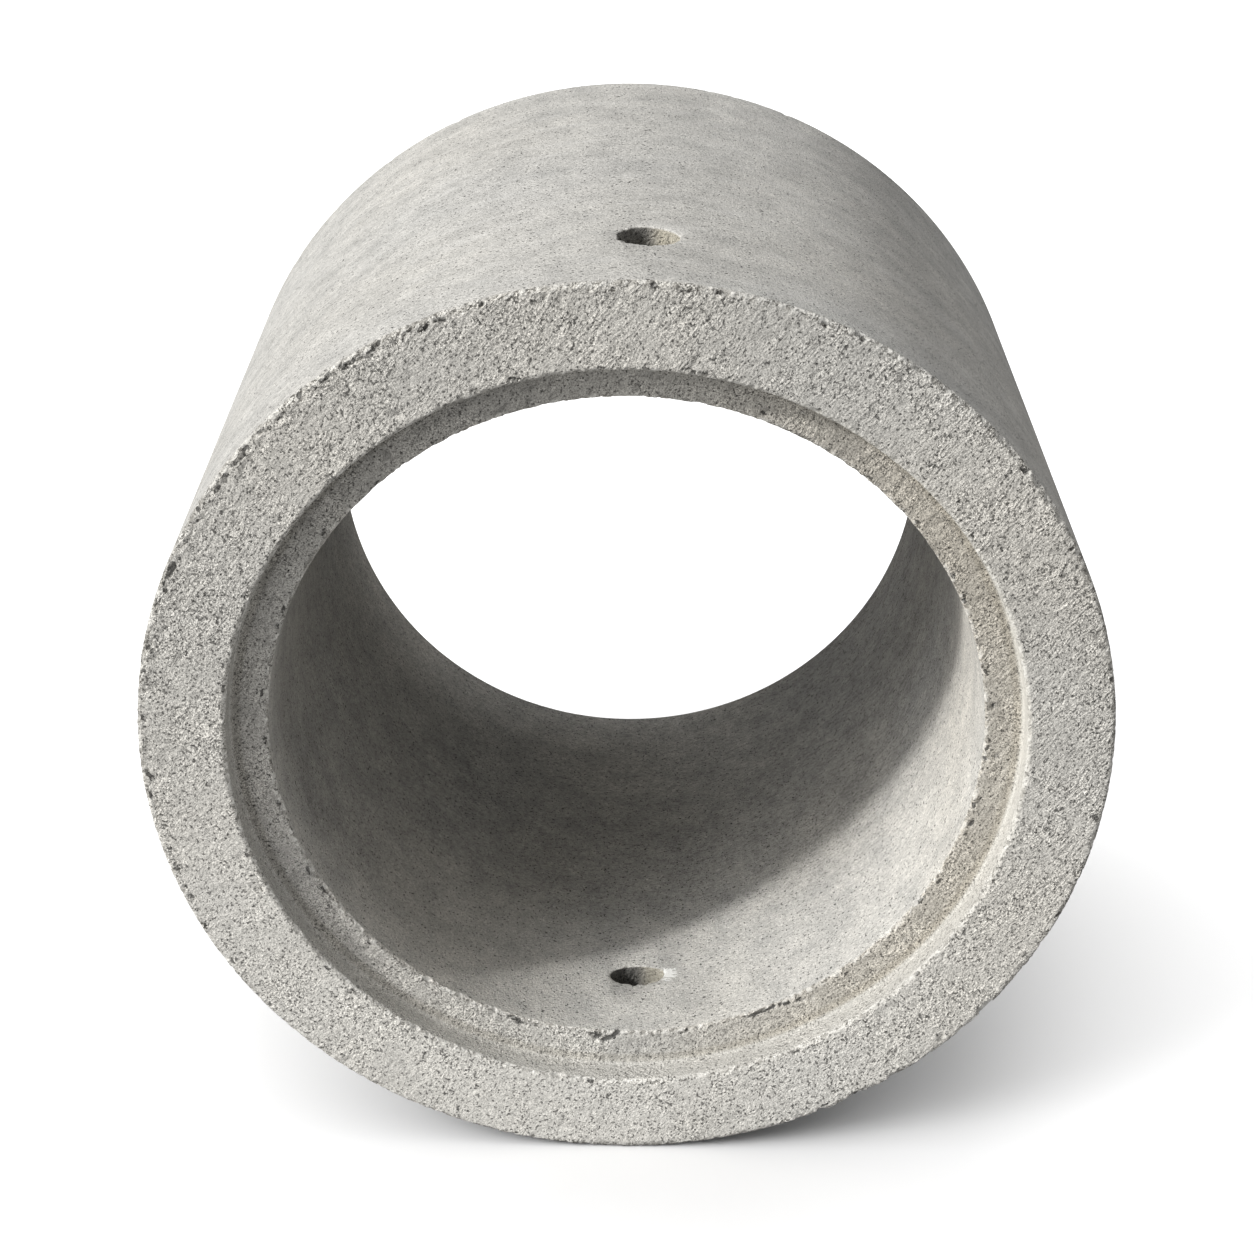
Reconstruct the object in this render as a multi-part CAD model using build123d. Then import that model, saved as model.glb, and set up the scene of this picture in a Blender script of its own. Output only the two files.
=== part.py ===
from build123d import *
import os

# Precast concrete manhole riser: one cast ring lying on its side.
# Frame: +Z up, ring axis along Y, the rebated end faces -Y.
# Origin: on the floor plane, midway along the ring, under its axis.
# All sizes in millimetres.

# ---- driving dimensions ----
bore_diameter = 600.0        # clear opening
wall_thickness = 105.0       # barrel wall
overall_length = 630.0       # 600 laying length plus the rebate that the next unit enters
rebate_diameter = 664.0      # socket wall of the rebate
rebate_depth = 28.0          # end face to shelf
rebate_root_radius = 5.0     # cove left by the end ring of the mould
rebate_mouth_radius = 3.0    # worn arris at the rebate's mouth
shelf_edge_radius = 2.5      # arris between shelf and bore
front_arris_radius = 3.0     # outer arris at the rebated end
rear_arris_radius = 3.0      # outer arris at the plain end
rear_bore_radius = 2.0       # bore arris at the plain end
lift_hole_diameter = 50.0    # upper lifting hole, and the width of the lower one
lower_hole_length = 30.0     # the lower hole is oval: its size along the ring's axis
lift_hole_setback = 120.0    # hole axis behind the rebated end face
lift_hole_offset_x = 13.0    # both holes stand a little to one side of the centre plane
lift_hole_arris = 2.0        # rounding at each mouth of the lifting holes

# ---- derived ----
r_bore = bore_diameter / 2
r_outer = r_bore + wall_thickness
r_rebate = rebate_diameter / 2
half_length = overall_length / 2
y_front = -half_length
y_rear = half_length
y_shelf = y_front + rebate_depth
y_hole = y_front + lift_hole_setback

# ---- section of the wall, drawn as (radius, distance along the axis) ----
# Plane XY is used for the drawing: X is the radius, Y is the ring's own axis.
corners = [
    (r_outer, y_rear),
    (r_outer, y_front),
    (r_rebate, y_front),
    (r_rebate, y_shelf),
    (r_bore, y_shelf),
    (r_bore, y_rear),
]
section = Polygon(*corners, align=None)

roundings = [
    ((r_outer, y_rear), rear_arris_radius),
    ((r_outer, y_front), front_arris_radius),
    ((r_rebate, y_front), rebate_mouth_radius),
    ((r_rebate, y_shelf), rebate_root_radius),
    ((r_bore, y_shelf), shelf_edge_radius),
    ((r_bore, y_rear), rear_bore_radius),
]
for (px, py), radius in roundings:
    corner = section.vertices().sort_by(
        lambda v, px=px, py=py: (v.X - px) ** 2 + (v.Y - py) ** 2
    )[0]
    section = fillet(corner, radius)

ring = revolve(section, Axis.Y, 360)

# ---- lifting holes: upright, a round one through the top wall and an oval one through the bottom wall ----
upper_bar = Pos(lift_hole_offset_x, y_hole, (r_outer + 20) / 2) * Cylinder(
    lift_hole_diameter / 2, r_outer + 20
)
lower_bar = Pos(lift_hole_offset_x, y_hole, -(r_outer + 20)) * extrude(
    Ellipse(lift_hole_diameter / 2, lower_hole_length / 2), r_outer + 20
)
ring = ring - upper_bar - lower_bar

# round the four mouths, where the holes break the barrel and the bore
mouths = []
for edge in ring.edges():
    box = edge.bounding_box()
    centre = box.center()
    near_axis = (
        abs(centre.X - lift_hole_offset_x) < 2.0 and abs(centre.Y - y_hole) < 2.0
    )
    length = lift_hole_diameter if centre.Z > 0 else lower_hole_length
    hole_wide = (
        abs(box.size.X - lift_hole_diameter) < 1.0 and abs(box.size.Y - length) < 1.0
    )
    if near_axis and hole_wide:
        mouths.append(edge)
ring = fillet(mouths, lift_hole_arris)

# ---- stand the ring on the floor plane ----
ring = Pos(0, 0, r_outer) * ring
riser_ring = ring.solids()[0]
riser_ring.label = "riser_ring"

os.makedirs("parts", exist_ok=True)
export_step(riser_ring, "parts/riser_ring.step")

print("solids", len(ring.solids()), "mouth edges", len(mouths))
print("volume m3", riser_ring.volume / 1e9, "mass at 2400 kg/m3", riser_ring.volume / 1e9 * 2400)
print("box", riser_ring.bounding_box())
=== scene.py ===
import bpy
import math
import numpy as np
from mathutils import Matrix, Vector


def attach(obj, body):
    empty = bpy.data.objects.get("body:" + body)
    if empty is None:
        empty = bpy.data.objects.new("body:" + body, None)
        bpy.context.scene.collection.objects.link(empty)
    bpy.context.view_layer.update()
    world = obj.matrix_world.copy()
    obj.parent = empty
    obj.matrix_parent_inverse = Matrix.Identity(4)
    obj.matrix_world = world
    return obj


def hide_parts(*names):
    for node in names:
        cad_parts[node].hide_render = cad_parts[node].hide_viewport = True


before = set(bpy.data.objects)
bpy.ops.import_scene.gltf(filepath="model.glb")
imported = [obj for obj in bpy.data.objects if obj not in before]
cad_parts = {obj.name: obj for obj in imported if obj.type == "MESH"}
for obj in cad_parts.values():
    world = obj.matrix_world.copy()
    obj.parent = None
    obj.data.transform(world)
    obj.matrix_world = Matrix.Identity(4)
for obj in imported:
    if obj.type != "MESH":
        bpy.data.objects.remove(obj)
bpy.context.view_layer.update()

# ----------------------------------------------------------------------------
# The ring's own sizes, in millimetres. Ring axis along Y, rebated end at -Y,
# floor at z = 0. (radius, y) is the wall section; theta 0 is +X, 90 is +Z.
# ----------------------------------------------------------------------------
R_OUT, R_BORE, R_REB = 405.0, 300.0, 332.0
Y_F, Y_R = -315.0, 315.0
Y_SHELF = Y_F + 28.0
A_FRONT, A_MOUTH, A_ROOT, A_SHELF, A_RBORE, A_ROUT = 3.0, 3.0, 5.0, 2.5, 2.0, 3.0
HOLE_X, HOLE_Y, HOLE_R = 13.0, Y_F + 120.0, 25.0
OVAL = 15.0 / 25.0          # the lower hole's length along the axis, over its width
AXIS_Z = R_OUT

N_EDGE, N_FINE, N_MID, N_LOW = 1920, 960, 480, 240


# ---- value noise on a seeded lattice ---------------------------------------
class Lattice:
    def __init__(self, seed):
        rs = np.random.RandomState(seed)
        self.p = rs.permutation(1024)
        self.v = rs.uniform(-1.0, 1.0, 1024)

    def __call__(self, P, wavelength):
        Q = P / wavelength
        I = np.floor(Q).astype(np.int64)
        F = Q - I
        U = F * F * F * (F * (F * 6.0 - 15.0) + 10.0)
        out = np.zeros(P.shape[:-1])
        for dx in (0, 1):
            wx = U[..., 0] if dx else 1.0 - U[..., 0]
            px = self.p[(I[..., 0] + dx) & 1023]
            for dy in (0, 1):
                wy = U[..., 1] if dy else 1.0 - U[..., 1]
                py = self.p[(px + I[..., 1] + dy) & 1023]
                for dz in (0, 1):
                    wz = U[..., 2] if dz else 1.0 - U[..., 2]
                    out += wx * wy * wz * self.v[self.p[(py + I[..., 2] + dz) & 1023]]
        return out


def fbm(seed, P, wavelength, octaves, gain=0.5):
    out, amp, tot = 0.0, 1.0, 0.0
    for k in range(octaves):
        out = out + amp * Lattice(seed + 17 * k)(P, wavelength / 2 ** k)
        tot += amp
        amp *= gain
    return out / tot


def smooth(a, b, x):
    t = np.clip((x - a) / (b - a), 0.0, 1.0)
    return t * t * (3.0 - 2.0 * t)


# ---- the section's rows ------------------------------------------------------
# each row: radius, y, outward normal (nr, ny), count round the ring, zone
rows = []


def add(r, y, nr, ny, n, zone):
    rows.append((r, y, nr, ny, n, zone))


def line(p0, p1, stations, normal, n, zone):
    for t in stations:
        add(p0[0] + (p1[0] - p0[0]) * t, p0[1] + (p1[1] - p0[1]) * t, normal[0], normal[1], n, zone)


def arc(centre, radius, a0, a1, count, n, zone, sign=1.0):
    # angles in degrees in the (r, y) plane; sign -1 for a cove, whose normal points to its centre
    for k in range(count):
        a = math.radians(a0 + (a1 - a0) * (k + 1) / (count + 1))
        add(centre[0] + radius * math.cos(a), centre[1] + radius * math.sin(a),
            sign * math.cos(a), sign * math.sin(a), n, zone)


# barrel, from the plain end to the rebated end
for y in (Y_R - A_ROUT, Y_R - 8):
    add(R_OUT, y, 1, 0, N_MID, "barrel")
for y in np.linspace(Y_R - 30, Y_F + 50, 11):
    add(R_OUT, y, 1, 0, N_LOW, "barrel")
add(R_OUT, Y_F + 30, 1, 0, N_MID, "barrel")
for y in (Y_F + 20, Y_F + 14, Y_F + 10):
    add(R_OUT, y, 1, 0, N_FINE, "barrel")
for y in (Y_F + 7.4, Y_F + 5.6, Y_F + 4.2, Y_F + A_FRONT):
    add(R_OUT, y, 1, 0, N_EDGE, "barrel")
arc((R_OUT - A_FRONT, Y_F + A_FRONT), A_FRONT, 0, -90, 2, N_EDGE, "arris")
# rebated end face
for r in (402.0, 400.6, 399.0):
    add(r, Y_F, 0, -1, N_EDGE, "face")
for r in np.linspace(396.6, 340.0, 18):
    add(r, Y_F, 0, -1, N_FINE, "face")
for r in (337.4, 336.2, R_REB + A_MOUTH):
    add(r, Y_F, 0, -1, N_EDGE, "face")
arc((R_REB + A_MOUTH, Y_F + A_MOUTH), A_MOUTH, 270, 180, 2, N_EDGE, "mouth")
# rebate wall, root cove, shelf
for y in (Y_F + A_MOUTH, Y_F + 4.6):
    add(R_REB, y, -1, 0, N_EDGE, "wall")
for y in (Y_F + 7.4, Y_F + 12, Y_F + 17.5, Y_SHELF - A_ROOT):
    add(R_REB, y, -1, 0, N_FINE, "wall")
arc((R_REB - A_ROOT, Y_SHELF - A_ROOT), A_ROOT, 0, 90, 2, N_FINE, "root", -1.0)
for r in (326.9, 323.2, 319.5, 315.8, 312.2, 309.0):
    add(r, Y_SHELF, 0, -1, N_FINE, "shelf")
for r in (306.8, 305.2, 303.8, R_BORE + A_SHELF):
    add(r, Y_SHELF, 0, -1, N_EDGE, "shelf")
arc((R_BORE + A_SHELF, Y_SHELF + A_SHELF), A_SHELF, 270, 180, 2, N_EDGE, "lip")
# bore
for y in (Y_SHELF + A_SHELF, Y_SHELF + 4.0):
    add(R_BORE, y, -1, 0, N_EDGE, "bore")
for y in (Y_SHELF + 6.2, Y_SHELF + 10):
    add(R_BORE, y, -1, 0, N_FINE, "bore")
add(R_BORE, Y_SHELF + 18, -1, 0, N_MID, "bore")
for y in np.linspace(Y_SHELF + 36, Y_R - 34, 11):
    add(R_BORE, y, -1, 0, N_LOW, "bore")
for y in (Y_R - 14, Y_R - 6, Y_R - A_RBORE):
    add(R_BORE, y, -1, 0, N_MID, "bore")
arc((R_BORE + A_RBORE, Y_R - A_RBORE), A_RBORE, 180, 90, 1, N_MID, "rlip")
# plain end face
for r in (302.0, 306.5):
    add(r, Y_R, 0, 1, N_MID, "rear")
for r in np.linspace(316, 390, 6):
    add(r, Y_R, 0, 1, N_LOW, "rear")
for r in (397.5, 402.0):
    add(r, Y_R, 0, 1, N_MID, "rear")
arc((R_OUT - A_ROUT, Y_R - A_ROUT), A_ROUT, 90, 0, 2, N_MID, "rarris")

R0 = np.array([q[0] for q in rows]); Y0 = np.array([q[1] for q in rows])
NR = np.array([q[2] for q in rows], float); NY = np.array([q[3] for q in rows], float)
CNT = np.array([q[4] for q in rows]); ZONE = [q[5] for q in rows]

# the way material is taken off: straight in on the flats, and along the
# diagonal of each arris close to it, so that deep chips never fold the mesh
VR, VY = -NR.copy(), -NY.copy()
q = math.sqrt(0.5)
for (cr, cy, dr, dy, reach) in ((R_OUT, Y_F, -q, q, 16.0), (R_REB, Y_F, q, q, 12.0), (R_BORE, Y_SHELF, q, q, 12.0),
                               (R_OUT, Y_R, -q, -q, 16.0), (R_BORE, Y_R, q, -q, 14.0)):
    dist = np.hypot(R0 - cr, Y0 - cy)
    w = 1.0 - smooth(0.30 * reach, reach, dist)
    for i, z in enumerate(ZONE):
        if w[i] > 0 and not (z == "root"):
            VR[i] = VR[i] * (1 - w[i]) + dr * w[i]
            VY[i] = VY[i] * (1 - w[i]) + dy * w[i]
ln = np.hypot(VR, VY); VR /= ln; VY /= ln

# ---- vertex arrays -----------------------------------------------------------
start = np.concatenate([[0], np.cumsum(CNT)])
TH = np.concatenate([np.arange(n) * (2 * math.pi / n) for n in CNT])
RI = np.concatenate([np.full(n, i) for i, n in enumerate(CNT)])
r0, y0 = R0[RI], Y0[RI]
vr, vy = VR[RI], VY[RI]
P0 = np.stack([r0 * np.cos(TH), y0, r0 * np.sin(TH)], -1)
D = np.zeros(len(TH))
zone = np.array(ZONE)[RI]


def is_zone(*names):
    return np.isin(zone, names)


# how worn the rebated end is round the ring: worst at the upper left, then upper right and low right
deg = np.degrees(TH)


def hump(a, centre, half):
    d = np.abs((a - centre + 180.0) % 360.0 - 180.0)
    return 1.0 - smooth(0.35 * half, half, d)


def wear_at(a):
    return np.clip(0.25 + 0.75 * hump(a, 142, 62) + 0.5 * hump(a, 46, 34) + 0.45 * hump(a, 312, 40), 0, 1)


WEAR = wear_at(deg)
broad = fbm(3, P0, 90.0, 2)
mid = fbm(11, P0, 17.0, 2)
fine = fbm(23, P0, 6.6, 2, 0.6)
n9, n5, n3 = Lattice(91)(P0, 9.5), Lattice(92)(P0, 5.0), Lattice(93)(P0, 2.8)
rim = WEAR * (1.0 - smooth(8.0, 34.0, R_OUT - r0))
d_face = 0.50 * (broad * 0.5 + 0.5) + 0.30 * (mid * 0.5 + 0.5) + (0.14 + 0.30 * rim) * np.clip(fine * 0.9 + 0.35, 0, 1.2)
D = np.where(is_zone("face", "arris", "mouth"), d_face, D)
D = np.where(is_zone("shelf", "lip"), 0.40 * (mid * 0.5 + 0.5) + 0.75 * np.clip(fine + 0.3, 0, 1.2), D)
D = np.where(is_zone("wall", "root"), 0.35 * (mid * 0.5 + 0.5) + 0.30 * (fine * 0.5 + 0.5), D)
D = np.where(is_zone("rear", "rlip", "rarris"), 0.5 * (broad * 0.5 + 0.5) + 0.35 * (mid * 0.5 + 0.5), D)
form = fbm(31, P0 * np.array([1.0, 0.45, 1.0]), 150.0, 2)
D = np.where(is_zone("barrel", "bore"), 0.40 * (form * 0.5 + 0.5), D)

# crumbled arrises: three sizes of nibble that fade a few millimetres from each corner
for (cr, cy, amp, reach, wear) in ((R_OUT, Y_F, 1.0, 6.5, 0.30 + 0.85 * WEAR), (R_REB, Y_F, 0.55, 5.5, 0.8 + 0.3 * WEAR),
                                   (R_BORE, Y_SHELF, 0.75, 5.5, 0.8 + 0.3 * WEAR)):
    dist = np.hypot(r0 - cr, y0 - cy)
    fall = 1.0 - smooth(1.5, reach, dist)
    nib = 1.3 * np.clip(n9 - 0.25, 0, 1) + 1.9 * np.clip(n5 - 0.15, 0, 1) + 1.8 * np.clip(n3 - 0.08, 0, 1)
    D = D + np.where((CNT[RI] >= N_FINE), amp * nib * fall * wear, 0.0)

ROUGH = Lattice(77)(P0, 5.5) * 0.55 + Lattice(78)(P0, 2.9) * 0.45


def carve(theta_c, rc, yc, rho, stretch=1.0, skew=0.0, rough=0.28):
    """Takes an ellipsoid's bite: every vertex inside it slides along its own way in until it is outside."""
    for i in np.nonzero((np.abs(R0 - rc) < rho * 1.5 + 6) & (np.abs(Y0 - yc) < rho * 1.5 + 6))[0]:
        n = CNT[i]
        if n < N_MID:
            continue
        rr = max(R0[i], 1.0)
        half = int(math.ceil(rho * stretch * 1.4 / rr * n / (2 * math.pi))) + 1
        c = int(round(theta_c / (2 * math.pi) * n))
        cols = (np.arange(c - half, c + half + 1)) % n
        th = (np.arange(c - half, c + half + 1)) * (2 * math.pi / n)
        idx = start[i] + cols
        a = R0[i] - rc
        b = Y0[i] - yc
        u = ((th - theta_c) * rr - skew * (a - b)) / stretch
        rho_e = rho * (1.0 + rough * ROUGH[idx])
        k = a * VR[i] + b * VY[i]
        m = u * u + a * a + b * b - rho_e ** 2
        disc = k * k - m
        t = np.where((m < 0), -k + np.sqrt(np.maximum(disc, 0)), 0.0)
        D[idx] = np.maximum(D[idx], t)


rs = np.random.RandomState(20417)
two_pi = 2 * math.pi


def bites(count, corner, out, radius, depth, stretch, where=None, jitter=1.2, rough=0.28, power=1.0):
    for _ in range(count):
        th = rs.uniform(0, two_pi) if where is None else math.radians(rs.uniform(*where))
        f = rs.uniform(0, 1) ** power
        rho = radius[0] + (radius[1] - radius[0]) * f
        dep = depth[0] + (depth[1] - depth[0]) * f
        st = rs.uniform(*stretch)
        lean = rs.uniform(-0.5, 0.5)
        ca, sa = math.cos(lean), math.sin(lean)
        ox, oy = out[0] * ca - out[1] * sa, out[0] * sa + out[1] * ca
        off = rho - dep
        jr, jy = rs.uniform(-jitter, jitter, 2)
        carve(th, corner[0] + ox * off + jr * (0.3), corner[1] + oy * off + jy * 0.3, rho, st, rs.uniform(-0.6, 0.6), rough)


# outer arris of the rebated end: crumbly all round, with scattered larger chips
o = (q, -q)
bites(420, (R_OUT - 1.0, Y_F + 1.0), o, (1.6, 3.2), (0.4, 1.4), (0.7, 1.7), power=1.6, rough=0.4)
bites(60, (R_OUT - 1.2, Y_F + 1.2), o, (2.6, 4.6), (1.0, 2.4), (0.8, 2.0), power=1.8, rough=0.45)
# the upper left of that arris is the most broken in the photograph
bites(70, (R_OUT - 1.2, Y_F + 1.2), o, (1.8, 3.8), (0.9, 2.3), (0.7, 1.6), where=(96, 196), power=1.3, rough=0.45)
bites(16, (R_OUT - 1.5, Y_F + 1.5), o, (2.6, 5.5), (1.2, 3.2), (0.8, 1.8), where=(26, 66), rough=0.45)
bites(12, (R_OUT - 1.5, Y_F + 1.5), o, (3.0, 6.5), (1.5, 3.6), (0.8, 1.8), where=(296, 322), rough=0.45)
# rebate mouth
o = (-q, -q)
bites(240, (R_REB + 1.0, Y_F + 1.0), o, (1.6, 3.0), (0.4, 1.2), (0.8, 2.2), power=1.5, rough=0.4)
bites(24, (R_REB + 1.2, Y_F + 1.2), o, (3.0, 5.0), (0.8, 2.0), (1.0, 2.2), rough=0.45)
# shelf's lip at the bore
bites(300, (R_BORE + 0.8, Y_SHELF + 0.8), o, (1.6, 3.2), (0.5, 1.6), (0.8, 1.9), power=1.4, rough=0.4)
bites(34, (R_BORE + 1.0, Y_SHELF + 1.0), o, (2.6, 4.8), (1.0, 2.6), (0.8, 2.0), rough=0.45)
# plain end
bites(60, (R_OUT - 1.0, Y_R - 1.0), (q, q), (3.5, 6.5), (0.6, 1.8), (1.0, 2.4), power=1.8)
bites(10, (R_OUT - 1.5, Y_R - 1.5), (q, q), (7.0, 11.0), (1.8, 3.6), (1.0, 2.0))


def pits(count, r_span, y_face, normal_y, radius, depth, stretch, bias=None, power=2.0):
    for _ in range(count):
        th = rs.uniform(0, two_pi)
        f = rs.uniform(0, 1)
        if bias:
            f = 1 - (1 - f) ** bias
        rc = r_span[0] + (r_span[1] - r_span[0]) * f
        g = rs.uniform(0, 1) ** power
        rho = radius[0] + (radius[1] - radius[0]) * g
        dep = depth[0] + (depth[1] - depth[0]) * g
        carve(th, rc, y_face + normal_y * (rho - dep), rho, rs.uniform(*stretch), rs.uniform(-1.4, 1.4), 0.35)


# air holes and torn spots on the rough faces
pits(150, (337, 401), Y_F + 0.4, -1, (2.4, 3.6), (0.9, 2.0), (0.7, 1.5), bias=1.25, power=2.0)
pits(30, (340, 400), Y_F + 0.4, -1, (3.2, 4.8), (1.2, 2.4), (0.8, 2.4), bias=1.3, power=1.4)
pits(120, (303, 327), Y_SHELF + 0.3, -1, (2.2, 3.4), (0.9, 2.0), (0.7, 1.6), power=1.8)
# a run of deep pits just inside the outer arris, at the upper left
for _ in range(120):
    th = math.radians(rs.normal(152, 26))
    rc = R_OUT - 3.5 - abs(rs.normal(0, 9.0))
    rho = rs.uniform(1.7, 3.0)
    carve(th, rc, Y_F - rho + rs.uniform(1.4, 2.4) + 0.6, rho, rs.uniform(0.8, 1.6), rs.uniform(-1, 1), 0.4)
# short dark gouges: each a run of bites, kept as a list so that the material can darken them with dirt and painted
# shade
gouges = []


def gouge(t0, r0_, t1, r1_, y_face, rho, depth):
    t0, t1 = math.radians(t0), math.radians(t1)
    n = max(2, int(math.hypot((t1 - t0) * r0_, r1_ - r0_) / (0.8 * rho)) + 1)
    for k in range(n):
        f = k / (n - 1)
        bulge = 1.0 + 0.35 * abs(2.0 * f - 1.0) ** 3
        carve(t0 + (t1 - t0) * f, r0_ + (r1_ - r0_) * f, y_face - rho + depth, rho * bulge, 0.9, 0.0, 0.3)
    gouges.append((r0_ * math.cos(t0), r0_ * math.sin(t0), r1_ * math.cos(t1), r1_ * math.sin(t1), y_face, rho))


# the bone-shaped break in the lip, low on the ring, and the long crack in the lip to its right
gouge(267.0, 309.4, 269.1, 302.4, Y_SHELF + 0.5, 2.7, 3.0)
gouge(265.6, 307.0, 266.2, 304.6, Y_SHELF + 0.5, 2.2, 2.4)
gouge(291.6, 303.8, 296.2, 302.8, Y_SHELF + 0.4, 1.9, 2.6)
gouge(297.4, 303.0, 298.8, 304.8, Y_SHELF + 0.4, 1.8, 2.2)
gouge(250.5, 303.0, 252.3, 302.5, Y_SHELF + 0.4, 1.5, 2.0)
# gaps under the crumbs just inside the outer arris, most at the upper left
for _ in range(84):
    t = rs.normal(146, 32) if rs.uniform() < 0.70 else rs.uniform(0, 360)
    rg = rs.uniform(397.6, 402.2)
    ln_ = 1.0 + 6.0 * rs.uniform() ** 2
    tilt = rs.normal(0, 0.5)
    dt = math.degrees(ln_ * math.cos(tilt) / rg)
    gouge(t, rg, t + dt, min(403.0, rg + ln_ * math.sin(tilt) * 0.6), Y_F + 0.8, rs.uniform(1.2, 2.0), rs.uniform(1.6, 2.6))
for _ in range(26):
    t = rs.uniform(0, 360)
    rg = rs.uniform(335.0, 337.2)
    dt = math.degrees(rs.uniform(1.0, 5.0) / rg)
    gouge(t, rg, t + dt, rg, Y_F + 0.7, rs.uniform(1.1, 1.6), rs.uniform(1.4, 2.2))
for _ in range(40):
    t = rs.uniform(0, 360)
    rg = rs.uniform(302.6, 306.5)
    dt = math.degrees(rs.uniform(1.0, 5.0) / rg)
    gouge(t, rg, t + dt, rg + rs.uniform(-1.2, 1.2), Y_SHELF + 0.6, rs.uniform(1.1, 1.8), rs.uniform(1.4, 2.4))

D = np.clip(D, 0.0, 9.0)
r1 = r0 + vr * D
y1 = y0 + vy * D
V = np.stack([r1 * np.cos(TH), y1, r1 * np.sin(TH) + AXIS_Z], -1) * 0.001

# ---- faces -------------------------------------------------------------------
quads, tris = [], []
m = len(rows)
for i in range(m):
    k = (i + 1) % m
    n0, n1 = CNT[i], CNT[k]
    s0, s1 = start[i], start[k]
    if n0 == n1:
        a = np.arange(n0); b = (a + 1) % n0
        quads.append(np.stack([s0 + a, s0 + b, s1 + b, s1 + a], -1))
    elif n0 == 2 * n1:
        j = np.arange(n1); jn = (j + 1) % n1
        a0, a1, a2 = s0 + 2 * j, s0 + 2 * j + 1, s0 + (2 * j + 2) % n0
        tris += [np.stack([a0, a1, s1 + j], -1), np.stack([a1, s1 + jn, s1 + j], -1), np.stack([a1, a2, s1 + jn], -1)]
    elif n1 == 2 * n0:
        j = np.arange(n0); jn = (j + 1) % n0
        b0, b1, b2 = s1 + 2 * j, s1 + 2 * j + 1, s1 + (2 * j + 2) % n1
        tris += [np.stack([b1, b0, s0 + j], -1), np.stack([s0 + jn, b1, s0 + j], -1), np.stack([b2, b1, s0 + jn], -1)]
    else:
        raise RuntimeError("row counts step by two")
faces = [tuple(f) for f in np.concatenate(quads).tolist()] + [tuple(f) for f in np.concatenate(tris).tolist()]

mesh = bpy.data.meshes.new("riser_ring_cast")
mesh.from_pydata([tuple(v) for v in V.tolist()], [], faces)
mesh.validate()
ring = bpy.data.objects.new("riser_ring_cast", mesh)
bpy.context.scene.collection.objects.link(ring)


def signed_volume(me):
    me.calc_loop_triangles()
    co = np.zeros(len(me.vertices) * 3); me.vertices.foreach_get("co", co); co = co.reshape(-1, 3)
    ti = np.zeros(len(me.loop_triangles) * 3, np.int32); me.loop_triangles.foreach_get("vertices", ti); ti = ti.reshape(-1, 3)
    a, b, c = co[ti[:, 0]], co[ti[:, 1]], co[ti[:, 2]]
    return float((a * np.cross(b, c)).sum() / 6.0), len(ti)


vol, count = signed_volume(mesh)
if vol < 0:
    mesh.flip_normals()

# ---- lifting holes: a rough straight bar, taken out of the top and bottom walls ----
HN = 96
hole_noise = Lattice(501)
hole_chip = Lattice(502)


def bar(name, sign, seed):
    """A rough plug through one wall, flared and broken where it meets the barrel and the bore."""
    ts = np.arange(HN) * two_pi / HN
    k = 1.0 if sign > 0 else OVAL
    cx, cy = HOLE_X + HOLE_R * np.cos(ts), HOLE_Y + k * HOLE_R * np.sin(ts)
    z_o = np.sqrt(R_OUT ** 2 - cx ** 2)
    z_i = np.sqrt(R_BORE ** 2 - cx ** 2)
    lv = [-8.0, 0.0, 0.7, 1.5, 2.6, 4.2, 8.0, 18.0, 34.0, 52.0]
    rings_ = []
    chip_o = np.clip(hole_chip(np.stack([cx, cy, np.full(HN, seed)], -1), 5.0) * 2.2 - 0.25, 0, 1) * 2.6
    chip_i = np.clip(hole_chip(np.stack([cx, cy, np.full(HN, seed + 40.0)], -1), 5.0) * 2.2 - 0.25, 0, 1) * 2.6
    for side, zref, chip in (("o", z_o, chip_o), ("i", z_i, chip_i)):
        ring_list = []
        for d in lv:
            if side == "o":
                z = zref - d
            else:
                z = zref + d
            p = np.stack([cx, cy, z + seed * 3.0], -1)
            rad = HOLE_R + 0.35 * hole_noise(p, 9.0) + 0.25 * hole_noise(p, 3.5)
            if d < 2.0:
                dd = max(d, 0.0)
                rad = rad + 2.0 - math.sqrt(max(0.0, 4.0 - (2.0 - dd) ** 2))
            rad = rad + chip * max(0.0, 1.0 - max(d, 0.0) / 4.2)
            ring_list.append(np.stack([HOLE_X + rad * np.cos(ts), HOLE_Y + (rad - HOLE_R * (1.0 - k)) * np.sin(ts), z], -1))
        rings_.append(ring_list)
    seq = rings_[0] + rings_[1][::-1][1:]
    P = np.concatenate(seq)
    P[:, 2] = sign * P[:, 2] + AXIS_Z
    nr_ = len(seq)
    fs = []
    for i in range(nr_ - 1):
        for j in range(HN):
            jn = (j + 1) % HN
            fs.append((i * HN + j, (i + 1) * HN + j, (i + 1) * HN + jn, i * HN + jn))
    fs.append(tuple(range(HN)))
    fs.append(tuple(reversed(range((nr_ - 1) * HN, nr_ * HN))))
    if sign < 0:
        fs = [tuple(reversed(f)) for f in fs]
    me = bpy.data.meshes.new(name)
    me.from_pydata([tuple(v) for v in (P * 0.001).tolist()], [], fs)
    me.validate()
    ob = bpy.data.objects.new(name, me)
    bpy.context.scene.collection.objects.link(ob)
    if signed_volume(me)[0] < 0:
        me.flip_normals()
    return ob


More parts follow.
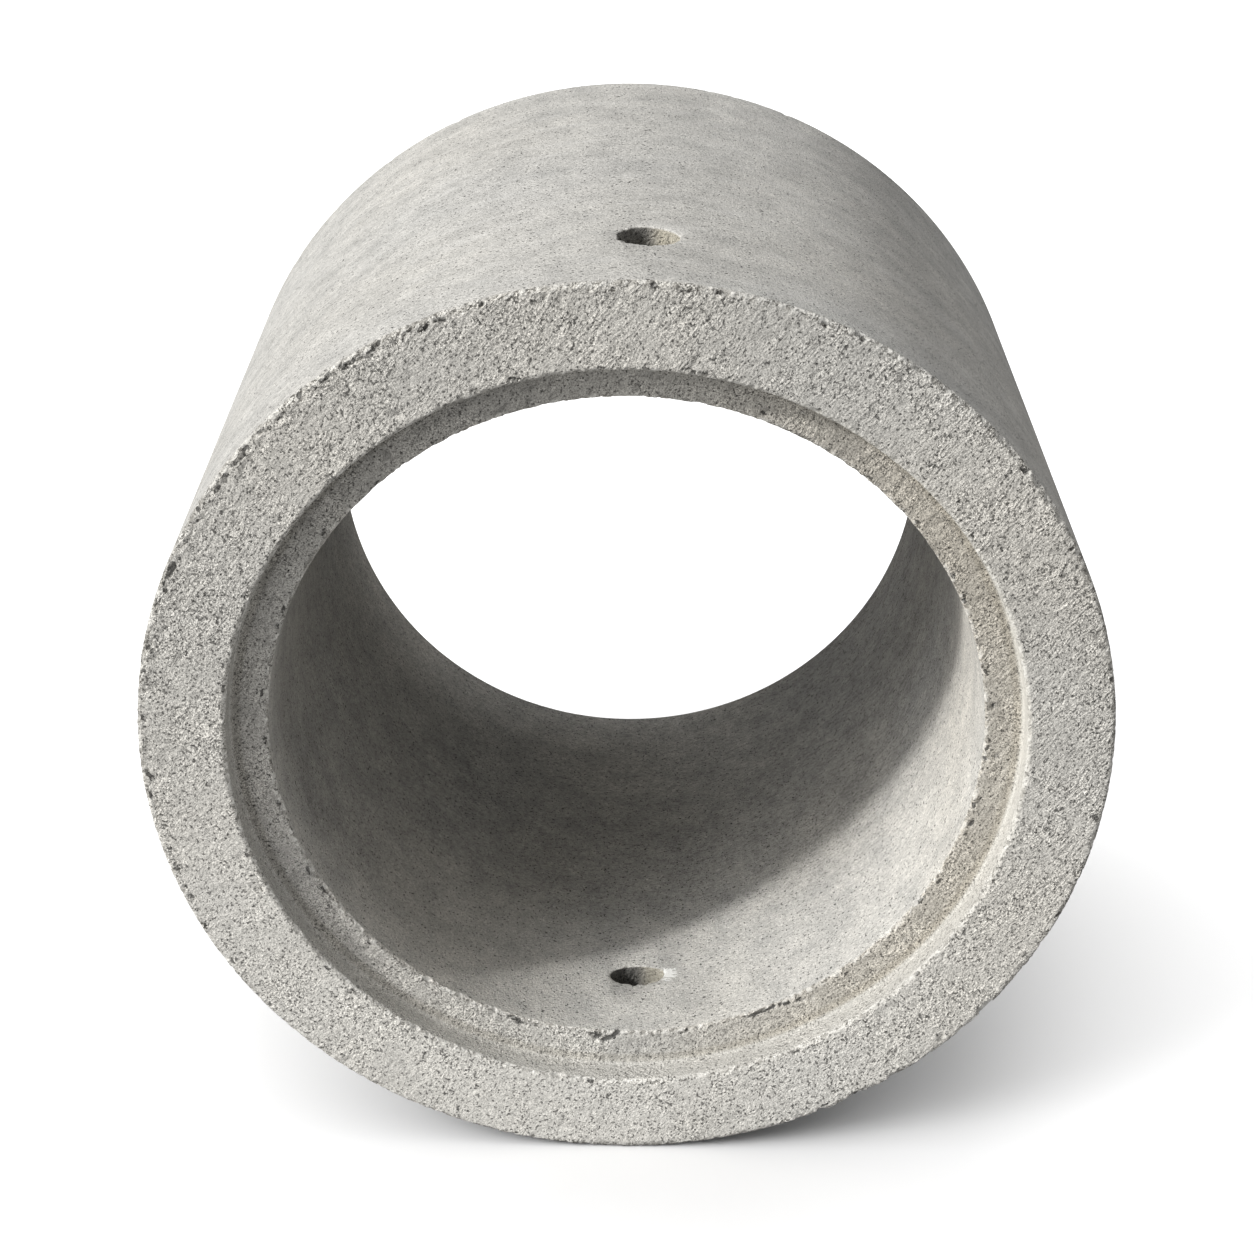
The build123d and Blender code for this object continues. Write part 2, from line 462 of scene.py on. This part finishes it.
for nm, sg, sd in (("bar_top", 1, 3.0), ("bar_bottom", -1, 11.0)):
    tool = bar(nm, sg, sd)
    mod = ring.modifiers.new("hole", "BOOLEAN")
    mod.operation = "DIFFERENCE"
    mod.solver = "EXACT"
    mod.object = tool
    dg = bpy.context.evaluated_depsgraph_get()
    done = bpy.data.meshes.new_from_object(ring.evaluated_get(dg))
    ring.modifiers.clear()
    old = ring.data
    ring.data = done
    bpy.data.meshes.remove(old)
    tm = tool.data
    bpy.data.objects.remove(tool)
    bpy.data.meshes.remove(tm)

mesh = ring.data
mesh.name = "riser_ring_cast"

# ---- per-vertex facts for the material ---------------------------------------
co = np.zeros(len(mesh.vertices) * 3); mesh.vertices.foreach_get("co", co); co = co.reshape(-1, 3) * 1000.0
vx, vyy, vz = co[:, 0], co[:, 1], co[:, 2] - AXIS_Z
vrad = np.hypot(vx, vz)


def depth_in_nominal(r, y):
    """How far a point lies under the unbroken surface of the section, in mm."""
    outer = np.minimum.reduce([R_OUT - r, r - R_BORE, y - Y_F, Y_R - y])
    # the rebate's corner
    in_reb = np.maximum(r - R_REB, y - Y_SHELF)
    corner = np.where((r < R_REB) & (y < Y_SHELF), in_reb,
                      np.where((r >= R_REB) & (y >= Y_SHELF), np.hypot(r - R_REB, y - Y_SHELF), np.maximum(r - R_REB, y - Y_SHELF)))
    return np.minimum(outer, corner)


dep = depth_in_nominal(vrad, vyy)
in_hole = np.hypot(vx - HOLE_X, np.where(vz > 0, 1.0, 1.45) * (vyy - HOLE_Y)) < HOLE_R + 5.0
dep = np.where(in_hole, 0.0, np.clip(dep, 0.0, 6.0))
vdeg = np.degrees(np.arctan2(vz, vx)) % 360.0
pn = np.stack([vx, vyy, vz], -1)


def facts(name, values):
    mesh.attributes.new(name, "FLOAT", "POINT").data.foreach_set("value", values.astype(np.float32))


near = np.zeros(len(vrad))
for (cr, cy, reach) in ((R_OUT, Y_F, 6.5), (R_REB, Y_F, 4.5), (R_BORE, Y_SHELF, 4.5)):
    near = np.maximum(near, 1.0 - smooth(0.35 * reach, reach, np.hypot(vrad - cr, vyy - cy)))
facts("edge", near)
dirt_and_shade = np.zeros(len(vrad))
for (ax, az, bx, bz, yg, rho) in gouges:
    ex, ez = bx - ax, bz - az
    f = np.clip(((vx - ax) * ex + (vz - az) * ez) / max(ex * ex + ez * ez, 1e-6), 0.0, 1.0)
    dd = np.hypot(vx - ax - f * ex, vz - az - f * ez)
    dirt_and_shade = np.maximum(dirt_and_shade, (1.0 - smooth(0.45 * rho, 1.7 * rho, dd)) * (np.abs(vyy - yg) < 6.0))
facts("dirt_and_shade", dirt_and_shade)
facts("torn", np.clip((dep - 1.5) / 2.4, 0.0, 1.0))
near_edge = 1.0 - smooth(6.0, 34.0, R_OUT - vrad)
facts("wear", np.clip(wear_at(vdeg) * (0.45 + 0.55 * near_edge) * smooth(Y_F + 24, Y_F + 4, vyy), 0, 1))
facts("tone", fbm(211, pn, 130.0, 2))
facts("warm", fbm(307, pn, 170.0, 2))

mesh.polygons.foreach_set("use_smooth", np.ones(len(mesh.polygons), bool))
mesh.set_sharp_from_angle(angle=math.radians(50.0))
vol, count = signed_volume(mesh)
print("ring triangles", count, "volume m3", round(vol, 5))

# ----------------------------------------------------------------------------
# Concrete
# ----------------------------------------------------------------------------
mat = bpy.data.materials.new("cast_concrete")
mat.use_nodes = True
nt = mat.node_tree
nt.nodes.clear()


class G:
    """Short names for shader nodes. A value is a socket or a number."""

    def __init__(self, tree):
        self.t = tree

    def node(self, kind, **props):
        n = self.t.nodes.new(kind)
        for k, v in props.items():
            setattr(n, k, v)
        return n

    def put(self, sock, v):
        if isinstance(v, bpy.types.NodeSocket):
            self.t.links.new(v, sock)
        else:
            sock.default_value = v

    def math(self, op, a, b=0.0, c=0.0, clamp=False):
        n = self.node("ShaderNodeMath", operation=op, use_clamp=clamp)
        self.put(n.inputs[0], a)
        self.put(n.inputs[1], b)
        if len(n.inputs) > 2:
            self.put(n.inputs[2], c)
        return n.outputs[0]

    def add(self, a, b): return self.math("ADD", a, b)
    def sub(self, a, b): return self.math("SUBTRACT", a, b)
    def mul(self, a, b): return self.math("MULTIPLY", a, b)
    def mad(self, a, b, c): return self.math("MULTIPLY_ADD", a, b, c)
    def mx(self, a, b): return self.math("MAXIMUM", a, b)
    def mn(self, a, b): return self.math("MINIMUM", a, b)

    def ramp(self, x, a, b, lo=0.0, hi=1.0):
        """Smooth step of x from a to b, giving lo to hi."""
        n = self.node("ShaderNodeMapRange", interpolation_type="SMOOTHSTEP")
        self.put(n.inputs["Value"], x)
        n.inputs["From Min"].default_value = a
        n.inputs["From Max"].default_value = b
        n.inputs["To Min"].default_value = lo
        n.inputs["To Max"].default_value = hi
        return n.outputs["Result"]

    def noise(self, vec, scale, detail=2.0, rough=0.5, distortion=0.0):
        n = self.node("ShaderNodeTexNoise")
        self.put(n.inputs["Vector"], vec)
        n.inputs["Scale"].default_value = scale
        n.inputs["Detail"].default_value = detail
        n.inputs["Roughness"].default_value = rough
        n.inputs["Distortion"].default_value = distortion
        return n.outputs["Fac"]

    def split(self, v):
        n = self.node("ShaderNodeSeparateXYZ")
        self.put(n.inputs[0], v)
        return n.outputs

    def join(self, x, y, z):
        n = self.node("ShaderNodeCombineXYZ")
        for s, v in zip(n.inputs, (x, y, z)):
            self.put(s, v)
        return n.outputs[0]

    def mix(self, f, a, b, kind="MIX"):
        n = self.node("ShaderNodeMix", data_type="RGBA", blend_type=kind)
        self.put(n.inputs["Factor"], f)
        self.put(n.inputs["A"], a)
        self.put(n.inputs["B"], b)
        return n.outputs["Result"]

    def mixf(self, f, a, b):
        n = self.node("ShaderNodeMix", data_type="FLOAT")
        self.put(n.inputs["Factor"], f)
        self.put(n.inputs["A"], a)
        self.put(n.inputs["B"], b)
        return n.outputs["Result"]


g = G(nt)
tc = g.node("ShaderNodeTexCoord").outputs["Object"]
sx, sy, sz = g.split(tc)
zc = g.sub(sz, AXIS_Z * 0.001)
rad = g.math("SQRT", g.add(g.mul(sx, sx), g.mul(zc, zc)))


def fact(name):
    return g.node("ShaderNodeAttribute", attribute_name=name).outputs["Fac"]


torn, edge, dirt_and_shade, wear, tone, warm = (fact(k) for k in ("torn", "edge", "dirt_and_shade", "wear", "tone", "warm"))

# where on the section this point is
front = g.mul(g.ramp(sy, -0.3098, -0.3128), g.ramp(rad, 0.3322, 0.3345))
shelf = g.mul(g.mul(g.ramp(sy, -0.2935, -0.2895), g.ramp(sy, -0.2830, -0.2862)), g.ramp(rad, 0.3315, 0.3285))
wall = g.mul(g.mul(g.ramp(sy, -0.2870, -0.2900), g.ramp(rad, 0.3260, 0.3300)), g.ramp(rad, 0.3365, 0.3340))
rear = g.ramp(sy, 0.3118, 0.3135)
hx, hy = g.sub(sx, HOLE_X * 0.001), g.sub(sy, HOLE_Y * 0.001)
hq = g.mul(hy, g.ramp(sz, 0.30, 0.20, 1.0, 1.0 / OVAL))
hd = g.math("SQRT", g.add(g.mul(hx, hx), g.mul(hq, hq)))
plug = g.mul(g.ramp(hd, 0.0278, 0.0262), g.mul(g.ramp(rad, 0.3008, 0.3020), g.ramp(rad, 0.4042, 0.4030)))
barrel = g.ramp(rad, 0.4022, 0.4040)
rough_a = g.mx(g.mx(front, shelf), g.mx(g.mul(rear, 0.6), g.mul(plug, 0.8)))
root = g.mul(g.mul(g.ramp(rad, 0.3215, 0.3265), g.ramp(rad, 0.3325, 0.3300)),
             g.mul(g.ramp(sy, -0.2960, -0.2895), g.ramp(sy, -0.2800, -0.2840)))
rough_a = g.mx(g.mx(rough_a, g.mul(root, 0.85)), g.mx(g.mul(wall, 0.75), edge))

# --- height in millimetres ---
# long slanting strokes, as left by the screed, over a sandy grain, with sparse crisp air holes
m_mid = g.noise(tc, 30.0, 2.0, 0.6)
ca, sa = math.cos(math.radians(52.0)), math.sin(math.radians(52.0))
# the strokes are longest on the upper part
su = g.mul(g.mad(sx, ca, g.mul(zc, sa)), g.ramp(sz, 0.12, 0.52, 0.52, 0.30))
sv = g.mad(m_mid, 0.016, g.sub(g.mul(zc, ca), g.mul(sx, sa)))
slant = g.join(su, sy, sv)
n_line = g.noise(slant, 210.0, 1.0, 0.6)
n_body = g.noise(slant, 470.0, 0.0)
n_grit = g.noise(tc, 640.0, 0.0)
n_pore = g.noise(tc, 470.0, 0.0)
n_pit = g.noise(tc, 450.0, 0.0)
# calm and busy patches
busy = g.mad(wear, 0.50, g.mad(edge, 0.4, g.ramp(m_mid, 0.38, 0.62)))
u = g.sub(n_line, 0.5)
plate = g.add(g.ramp(u, -0.115, -0.070), g.ramp(u, 0.040, 0.085))
score = g.mul(g.ramp(g.math("ABSOLUTE", g.add(u, 0.015)), 0.060, 0.020), g.ramp(n_pit, 0.480, 0.560))
score = g.mul(score, g.mad(busy, 0.60, 0.35))
low = g.ramp(u, -0.100, -0.160)
pore = g.math("MULTIPLY", g.sub(n_pore, g.mad(rough_a, 0.030, 0.700)), 16.0, clamp=True)
pit = g.math("MULTIPLY", g.sub(n_pit, g.mad(busy, -0.025, g.mad(shelf, -0.012, 0.722))), 20.0, clamp=True)
pit = g.mul(pit, rough_a)
amp = g.mul(rough_a, g.mad(busy, 0.54, g.mad(shelf, 0.14, 0.36)))
# the end face is calmer at the bottom and the top left, and rougher at its sides
amp = g.mad(g.mul(front, g.ramp(sz, 0.15, 0.05)), g.mul(amp, -0.38), amp)
amp = g.mad(g.mul(front, g.mul(g.ramp(sx, 0.02, -0.12), g.ramp(sz, 0.60, 0.68))), -0.16, amp)
amp = g.mad(g.mul(front, g.mul(g.ramp(sx, -0.22, -0.31), g.ramp(sz, 0.25, 0.36))), 0.14, amp)
amp = g.mad(g.mul(front, g.ramp(sx, 0.26, 0.34)), 0.14, amp)
h = g.mul(g.sub(g.mul(plate, 0.43), g.mul(score, 0.9)), g.mad(amp, 0.40, 0.04))
h = g.mad(u, g.mul(amp, 0.86), h)
h = g.mad(g.sub(n_body, 0.5), g.mad(amp, 0.40, 0.25), h)
h = g.mad(g.sub(n_grit, 0.5), g.mad(amp, 0.40, g.mad(rough_a, -0.13, 0.42)), h)
h = g.sub(h, g.mad(pore, 0.30, g.mul(pit, 0.80)))

bump = g.node("ShaderNodeBump")
bump.inputs["Strength"].default_value = 1.0
bump.inputs["Distance"].default_value = 0.001
g.put(bump.inputs["Height"], h)

# --- colour ---
base_r = (0.490, 0.474, 0.439, 1.0)
base_f = (0.468, 0.458, 0.434, 1.0)
col = g.mix(rough_a, base_f, base_r)
bore = g.mul(g.ramp(rad, 0.3035, 0.3012), g.ramp(sy, -0.288, -0.284))
shade = g.mad(tone, 0.10, g.mad(g.sub(m_mid, 0.5), g.mad(g.mx(bore, shelf), 0.35, g.mad(barrel, 0.30, 0.32)), 1.0))
# the relief is painted into the colour too: crevices darker, partly dirt and partly painted shade, and raised grains
# paler, as painted light
shade = g.mul(shade, g.mad(g.sub(n_body, 0.5), g.mad(rough_a, -0.30, 0.62), 1.0))
shade = g.mul(shade, g.mad(score, g.mad(rough_a, -0.24, -0.05), 1.0))
shade = g.mul(shade, g.mad(low, g.mad(rough_a, -0.14, g.mad(shelf, -0.10, -0.04)), 1.0))
grain = g.noise(tc, 1000.0, 0.0)
shade = g.mul(shade, g.mad(g.sub(grain, 0.5), g.mad(amp, 1.30, g.mad(rough_a, -0.35, g.mad(bore, -0.05, 0.90))), 1.0))
# pores and air holes darkened: painted shade in them, with some dirt
shade = g.mul(shade, g.mad(pore, g.mad(rough_a, 0.20, -0.78), 1.0))
shade = g.mul(shade, g.mad(pit, -0.66, 1.0))
# painted shade: the inside is darker away from the mouth, sooner on its left, and painted light makes it a little
# paler again at the far end; the shelf is darker, the gouges hold dirt and painted shade, and the left side of each
# hole has painted shade
left_side = g.ramp(sx, -0.12, -0.26)
deep = g.mul(bore, g.mx(g.ramp(sy, -0.190, -0.040), g.mul(left_side, g.ramp(sy, -0.285, -0.200, 0.0, 0.8))))
shade = g.mul(shade, g.mad(deep, -0.26, 1.0))
shade = g.mul(shade, g.mad(g.mul(u, bore), g.mad(deep, 0.60, 0.10), 1.0))
# painted light: the bore paler towards its open far end, and a little darker at its far right there
shade = g.mul(shade, g.mad(g.mul(g.mul(bore, g.ramp(sy, 0.02, 0.27)), g.ramp(sx, 0.24, 0.08, -0.10, 0.33)), 1.0, 1.0))
# the gouges darkened: dirt in them and painted shade
dirt_and_shade = g.ramp(g.mad(g.sub(n_body, 0.5), 1.1, dirt_and_shade), 0.42, 0.72)
shade = g.mul(shade, g.mad(dirt_and_shade, -0.80, 1.0))
# the shelf darker overall; painted shade on its left part, beside the wall there, and on the wall's left part
at_left = g.mul(g.ramp(sx, 0.02, -0.16), g.ramp(sz, 0.10, 0.30))
shade = g.mul(shade, g.mad(shelf, g.mad(at_left, -0.09, -0.155), 1.0))
shade = g.mul(shade, g.mad(g.mul(g.mul(g.mx(shelf, root), g.ramp(rad, 0.3080, 0.3270)), at_left), -0.22, 1.0))
shade = g.mul(shade, g.mad(g.mul(wall, at_left), -0.22, 1.0))
# painted shade on the far left of the bore
shade = g.mul(shade, g.mad(g.mul(bore, g.ramp(sx, -0.240, -0.292)), -0.11, 1.0))
# painted light: a paler band on the barrel's upper right
shade = g.mul(shade, g.mad(g.mul(barrel, g.mul(g.ramp(sx, 0.04, 0.13), g.ramp(sx, 0.24, 0.16))), 0.17, 1.0))
# faint pale scratches on the formed faces
scratch = g.mul(g.ramp(g.math("ABSOLUTE", g.add(u, 0.02)), 0.022, 0.006), g.ramp(n_pit, 0.50, 0.60))
shade = g.mul(shade, g.mad(g.mul(scratch, g.sub(1.0, rough_a)), g.mad(bore, 0.20, 0.10), 1.0))
# painted light and shade: the end face a little paler at its top and at its lower right, the bore paler in places
# nearer its mouth, and the rebate wall darker low on its right
shade = g.mul(shade, g.mad(g.mul(front, g.ramp(sz, 0.52, 0.66)), 0.035, 1.0))
shade = g.mul(shade, g.mad(g.mul(front, g.mul(g.ramp(sx, 0.05, 0.20), g.ramp(sz, 0.34, 0.22))), 0.05, 1.0))
shade = g.mul(shade, g.mad(g.mul(bore, g.mul(g.ramp(sy, -0.02, -0.12), g.mul(g.ramp(sx, -0.22, -0.02),
                  g.mad(g.mul(g.ramp(sx, 0.08, 0.14), g.ramp(sx, 0.24, 0.18)), -1.0, g.ramp(sx, 0.24, 0.28, 1.0, 1.7))))), 0.068, 1.0))
shade = g.mul(shade, g.mad(g.mul(wall, g.mul(g.ramp(zc, -0.12, -0.22), g.ramp(sx, 0.0, 0.12))), -0.09, 1.0))
# painted shade along the foot of the end face, where it stands on the floor
shade = g.mul(shade, g.mad(g.mul(g.ramp(sz, 0.0085, 0.0030), g.ramp(sy, -0.304, -0.311)), -0.45, 1.0))
# painted shade on the left side of each lifting hole
shade = g.mul(shade, g.mad(g.mul(plug, g.ramp(hx, 0.012, -0.006)), -0.74, 1.0))
tint = g.mad(g.mad(g.sub(m_mid, 0.5), 1.2, warm), g.mad(bore, 0.008, 0.008), g.mul(bore, 0.010))
tint = g.mad(shelf, g.ramp(sx, 0.0, 0.20, 0.0, 0.030), tint)
col = g.mix(1.0, col, g.join(g.mul(shade, g.add(1.0, tint)), shade, g.mul(shade, g.sub(1.0, g.mul(tint, 1.6)))), "MULTIPLY")
# painted light: the rebate's wall is mixed toward pale cream, most on its right side and above the axis, where the
# lamp falls on it; its root is warmer and darker, a warm tint with painted shade in the corner
wall_lit_cream = g.mul(g.ramp(sx, 0.02, 0.26, 0.08, 0.62), g.ramp(zc, -0.16, 0.06, 0.25, 1.40))
col = g.mix(g.mul(wall, wall_lit_cream), col, (0.60, 0.58, 0.53, 1.0))
col = g.mix(g.mul(root, 0.95), col, (0.80, 0.79, 0.765, 1.0), "MULTIPLY")
# broken arrises show fresh, paler concrete; the raised crumbs are paler, partly fresh concrete and partly painted
# highlight, and the gaps between them have painted shade
col = g.mix(g.mul(torn, 0.15), col, (0.60, 0.585, 0.55, 1.0))
col = g.mix(g.mul(g.mul(edge, g.ramp(u, 0.035, 0.075)), 0.50), col, (0.66, 0.65, 0.615, 1.0))
col = g.mix(g.mul(g.mul(edge, g.mx(g.ramp(u, -0.070, -0.110), score)), 0.50), col, (0.17, 0.16, 0.14, 1.0))
col = g.mix(g.mul(plug, g.ramp(hx, -0.004, 0.012)), col, (0.86, 0.83, 0.745, 1.0), "MULTIPLY")
# a pale spall on the bore, just right of the bottom lifting hole
px_, py_ = g.mul(g.sub(sx, 0.0410), 1.0 / 0.0070), g.mul(g.add(sy, 0.1965), 1.0 / 0.0085)
spall = g.math("SQRT", g.add(g.mul(px_, px_), g.mul(py_, py_)))
spall = g.mul(g.mul(g.ramp(g.mad(g.sub(n_body, 0.5), 2.2, spall), 1.15, 0.85), bore), g.ramp(sz, 0.30, 0.20))
col = g.mix(g.mul(spall, 0.85), col, (0.84, 0.84, 0.815, 1.0))
# pale drag bands round the formed barrel
band = g.noise(g.join(sx, g.mul(sy, 4.0), sz), 16.0, 3.0, 0.62)
col = g.mix(g.mul(g.mul(g.ramp(band, 0.48, 0.72), barrel), 0.28), col, (0.62, 0.612, 0.592, 1.0))

bsdf = g.node("ShaderNodeBsdfPrincipled")
g.put(bsdf.inputs["Base Color"], col)
bsdf.inputs["Roughness"].default_value = 0.9
bsdf.inputs["Specular IOR Level"].default_value = 0.2
g.put(bsdf.inputs["Normal"], bump.outputs["Normal"])
out = g.node("ShaderNodeOutputMaterial")
nt.links.new(bsdf.outputs["BSDF"], out.inputs["Surface"])

mesh.materials.clear()
mesh.materials.append(mat)

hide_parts("riser_ring")
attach(ring, "root")

# ----------------------------------------------------------------------------
# Floor, light and camera
# ----------------------------------------------------------------------------
scene = bpy.context.scene
scene.view_settings.view_transform = "Standard"
scene.view_settings.look = "None"

# light levels: each is a radiance, or a sun's strength
KEY, KEY_ANGLE = 0.74, 3.6
KEY_SOFT, SOFT_ANGLE = 0.46, 34.0
SKY_ALL, SKY_UP, SKY_FRONT, SKY_LEFT = 0.0, 0.0, 0.55, 0.85
SIDE_FILL, LOW_FILL = 0.30, 2.6
FLOOR_BOUNCE = 0.148
FLOOR_LEFT, FLOOR_KEY, FLOOR_TOP = 1.023, 0.190, 0.135

fm = bpy.data.meshes.new("floor")
S = 14.0
fm.from_pydata([(-S, -S, 0), (S, -S, 0), (S, S, 0), (-S, S, 0)], [], [(0, 1, 2, 3)])
floor = bpy.data.objects.new("floor", fm)
scene.collection.objects.link(floor)
fmat = bpy.data.materials.new("pale_floor")
fmat.use_nodes = True
ft = fmat.node_tree
ft.nodes.clear()
f = G(ft)
seen = f.node("ShaderNodeBsdfDiffuse")
seen.inputs["Color"].default_value = (0.86, 0.86, 0.86, 1.0)
bounce = f.node("ShaderNodeBsdfDiffuse")
bounce.inputs["Color"].default_value = (FLOOR_BOUNCE, FLOOR_BOUNCE, FLOOR_BOUNCE, 1.0)
fmix = f.node("ShaderNodeMixShader")
ft.links.new(f.node("ShaderNodeLightPath").outputs["Is Camera Ray"], fmix.inputs[0])
ft.links.new(bounce.outputs[0], fmix.inputs[1])
ft.links.new(seen.outputs[0], fmix.inputs[2])
fo = f.node("ShaderNodeOutputMaterial")
ft.links.new(fmix.outputs[0], fo.inputs["Surface"])
fm.materials.append(fmat)

world = bpy.data.worlds.new("studio")
scene.world = world
world.use_nodes = True
wt = world.node_tree
wt.nodes.clear()
w = G(wt)
lp = w.node("ShaderNodeLightPath").outputs["Is Camera Ray"]
bg_cam = w.node("ShaderNodeBackground")
bg_cam.inputs["Color"].default_value = (1, 1, 1, 1)
bg_cam.inputs["Strength"].default_value = 1.0
# the studio's own light comes from the camera's side and from the left
wx, wy, wz = w.split(w.node("ShaderNodeTexCoord").outputs["Generated"])
level = w.mad(w.math("MAXIMUM", wz, 0.0), SKY_UP, SKY_ALL)
level = w.mad(w.math("MAXIMUM", w.mul(wy, -1.0), 0.0), SKY_FRONT, level)
level = w.mad(w.math("MAXIMUM", w.mul(wx, -1.0), 0.0), SKY_LEFT, level)
bg_lit = w.node("ShaderNodeBackground")
bg_lit.inputs["Color"].default_value = (1, 1, 1, 1)
w.put(bg_lit.inputs["Strength"], level)
ms = w.node("ShaderNodeMixShader")
wt.links.new(lp, ms.inputs[0])
wt.links.new(bg_lit.outputs[0], ms.inputs[1])
wt.links.new(bg_cam.outputs[0], ms.inputs[2])
wo = w.node("ShaderNodeOutputWorld")
wt.links.new(ms.outputs[0], wo.inputs[0])


def aim(ob, target):
    d = (Vector(target) - ob.location).normalized()
    ob.rotation_mode = "QUATERNION"
    ob.rotation_quaternion = d.to_track_quat("-Z", "Y")


only_ring = bpy.data.collections.new("key_receivers")
only_ring.objects.link(ring)
only_floor = bpy.data.collections.new("floor_receivers")
only_floor.objects.link(floor)



def sun(name, direction, strength, angle, colour, receiver):
    ld = bpy.data.lights.new(name, "SUN")
    ld.energy = strength
    ld.angle = math.radians(angle)
    ld.color = colour
    ob = bpy.data.objects.new(name, ld)
    scene.collection.objects.link(ob)
    ob.location = Vector(direction).normalized() * 4.0
    aim(ob, (0, 0, 0))
    ob.light_linking.receiver_collection = receiver
    return ob


def heading(az, el):
    az, el = math.radians(az), math.radians(el)
    return (math.cos(el) * math.cos(az), math.cos(el) * math.sin(az), math.sin(el))


# key: upper left and in front, small enough to throw the soft-edged shadow in the bore
sun("key", (-0.7488, -0.3667, 0.5521), KEY * math.pi, KEY_ANGLE, (1.0, 0.992, 0.975), only_ring)
# the same lamp's wide soft surround, which grades the shadow away from its edge
sun("key_soft", (-0.7488, -0.3667, 0.5521), KEY_SOFT * math.pi, SOFT_ANGLE, (1.0, 0.996, 0.985), only_ring)
# a weaker soft light square to the axis, on the barrel's right side
sun("side_fill", (0.77, 0.0, 0.64), SIDE_FILL * math.pi, 26.0, (1.0, 1.0, 1.0), only_ring)
# light thrown back by the pale floor in front, on the low half of the end face
ld = bpy.data.lights.new("low_fill", "AREA")
ld.shape, ld.size, ld.size_y, ld.energy = "RECTANGLE", 0.9, 0.14, LOW_FILL
low = bpy.data.objects.new("low_fill", ld)
scene.collection.objects.link(low)
low.location = (-0.10, -0.95, 0.09)
aim(low, (0.0, -0.315, 0.16))
low.visible_camera = False
low.light_linking.receiver_collection = only_ring
# the floor's own soft lights, for the pale shadow that falls to the right
sun("floor_left", heading(128.5, 62.4), FLOOR_LEFT * math.pi / math.sin(math.radians(62.4)) / 0.9, 137.6, (1, 1, 1), only_floor)
sun("floor_key", heading(214.3, 36.4), FLOOR_KEY * math.pi / math.sin(math.radians(36.4)) / 0.9, 22.4, (1, 1, 1), only_floor)
sun("floor_top", heading(81.5, 67.4), FLOOR_TOP * math.pi / math.sin(math.radians(67.4)) / 0.9, 24.8, (1, 1, 1), only_floor)

cam_d = bpy.data.cameras.new("camera")
cam = bpy.data.objects.new("camera", cam_d)
scene.collection.objects.link(cam)
cam_d.sensor_fit = "HORIZONTAL"
cam_d.sensor_width = 36.0
cam_d.lens = 72.9367
cam_d.clip_start, cam_d.clip_end = 0.05, 60.0
pitch, yaw, roll = math.radians(25.63), math.radians(-0.015), math.radians(0.703)
fwd = Vector((math.sin(yaw) * math.cos(pitch), math.cos(yaw) * math.cos(pitch), -math.sin(pitch)))
right = Vector((math.cos(yaw), -math.sin(yaw), 0.0))
up = right.cross(fwd)
rr = right * math.cos(roll) + up * math.sin(roll)
uu = -right * math.sin(roll) + up * math.cos(roll)
loc = Vector((0.0, Y_F * 0.001 - 1.85436, AXIS_Z * 0.001 + 1.00304))
cam.matrix_world = Matrix(((rr.x, uu.x, -fwd.x, loc.x), (rr.y, uu.y, -fwd.y, loc.y), (rr.z, uu.z, -fwd.z, loc.z), (0, 0, 0, 1)))
scene.camera = cam

bpy.context.view_layer.update()
